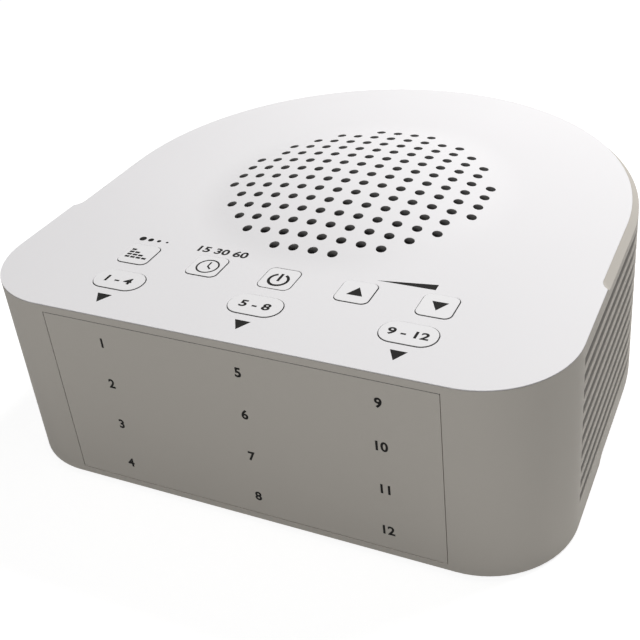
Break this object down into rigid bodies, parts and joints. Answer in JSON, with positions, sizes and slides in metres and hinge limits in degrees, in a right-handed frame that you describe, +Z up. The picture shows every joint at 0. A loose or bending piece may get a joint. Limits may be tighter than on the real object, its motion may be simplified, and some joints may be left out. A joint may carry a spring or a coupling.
{
  "type": "white noise sound machine",
  "caption": "Bedside sound machine with a square front and half-round back: white cover with a domed grille and sprung push buttons on a grey housing with ribbed sides.",
  "frame": {"origin": "on the resting surface under the feet, below the centre of the grille, which is the centre of the plan", "axes": "+Z up, the flat front faces -Y, the half-round back and its DC inlet face +Y, +X to the right seen from the front"},
  "size_m": [0.176, 0.176, 0.0681],
  "materials": {
    "cover_white": "fine satin moulding",
    "button_white": "satin, with dark printing",
    "housing_grey": "fine satin moulding",
    "panel_grey": "smooth satin plate, with dark printing",
    "base_grey": "fine spark texture",
    "foot_rubber": "matt",
    "screw_steel": "zinc plated",
    "switch_black": "moulded",
    "board_green": "solder resist",
    "gasket_foam": "open foam",
    "frame_black": "black paint on pressed steel",
    "cone_paper": "pressed paper pulp",
    "spider_cloth": "stiffened weave",
    "coil_copper": "lacquered copper wire",
    "magnet_iron": "zinc plated iron",
    "magnet_ferrite": "ground ferrite",
    "terminal_fibre": "resin bonded fibre",
    "chip_black": "moulded epoxy",
    "capacitor_sleeve": "shrink sleeve",
    "header_cream": "moulded nylon",
    "inlet_black": "moulded",
    "inlet_pin_metal": "plated brass",
    "ribbon_grey": "vinyl",
    "wire_red": "vinyl"
  },
  "bodies": {
    "case": {"top_cover": "cover_white", "housing": "housing_grey", "front_panel": "panel_grey", "base_plate": "base_grey", "rubber_feet": "foot_rubber", "case_screws": "screw_steel", "tact_switches": "switch_black", "keypad_board": "board_green", "keypad_screws": "screw_steel", "speaker_gasket": "gasket_foam", "speaker_frame": "frame_black", "speaker_cone": "cone_paper", "spider": "spider_cloth", "voice_coil": "coil_copper", "pole_plate": "magnet_iron", "speaker_magnet": "magnet_ferrite", "magnet_yoke": "magnet_iron", "speaker_terminals": "terminal_fibre", "speaker_screws": "screw_steel", "main_board": "board_green", "board_chips": "chip_black", "board_capacitors": "capacitor_sleeve", "cable_headers": "header_cream", "board_screws": "screw_steel", "dc_inlet": "inlet_black", "inlet_pin": "inlet_pin_metal", "ribbon_cable": "ribbon_grey", "speaker_wires": "wire_red"},
    "fade_key": {"fade_button": "button_white", "fade_plunger": "switch_black"},
    "timer_key": {"timer_button": "button_white", "timer_plunger": "switch_black"},
    "power_key": {"power_button": "button_white", "power_plunger": "switch_black"},
    "volume_up_key": {"volume_up_button": "button_white", "volume_up_plunger": "switch_black"},
    "volume_down_key": {"volume_down_button": "button_white", "volume_down_plunger": "switch_black"},
    "left_sound_key": {"left_sound_button": "button_white", "left_sound_plunger": "switch_black"},
    "middle_sound_key": {"middle_sound_button": "button_white", "middle_sound_plunger": "switch_black"},
    "right_sound_key": {"right_sound_button": "button_white", "right_sound_plunger": "switch_black"}
  },
  "joints": [
    {"name": "fade_press", "type": "slide", "parent": "case", "child": "fade_key", "axis": [0, 0, -1], "range_m": [0, 0.0008], "stiffness_N_per_m": 1500},
    {"name": "timer_press", "type": "slide", "parent": "case", "child": "timer_key", "axis": [0, 0, -1], "range_m": [0, 0.0008], "stiffness_N_per_m": 1500},
    {"name": "power_press", "type": "slide", "parent": "case", "child": "power_key", "axis": [0, 0, -1], "range_m": [0, 0.0008], "stiffness_N_per_m": 1500},
    {"name": "volume_up_press", "type": "slide", "parent": "case", "child": "volume_up_key", "axis": [0, 0, -1], "range_m": [0, 0.0008], "stiffness_N_per_m": 1500},
    {"name": "volume_down_press", "type": "slide", "parent": "case", "child": "volume_down_key", "axis": [0, 0, -1], "range_m": [0, 0.0008], "stiffness_N_per_m": 1500},
    {"name": "left_sound_press", "type": "slide", "parent": "case", "child": "left_sound_key", "axis": [0, 0, -1], "range_m": [0, 0.0008], "stiffness_N_per_m": 1500},
    {"name": "middle_sound_press", "type": "slide", "parent": "case", "child": "middle_sound_key", "axis": [0, 0, -1], "range_m": [0, 0.0008], "stiffness_N_per_m": 1500},
    {"name": "right_sound_press", "type": "slide", "parent": "case", "child": "right_sound_key", "axis": [0, 0, -1], "range_m": [0, 0.0008], "stiffness_N_per_m": 1500}
  ]
}
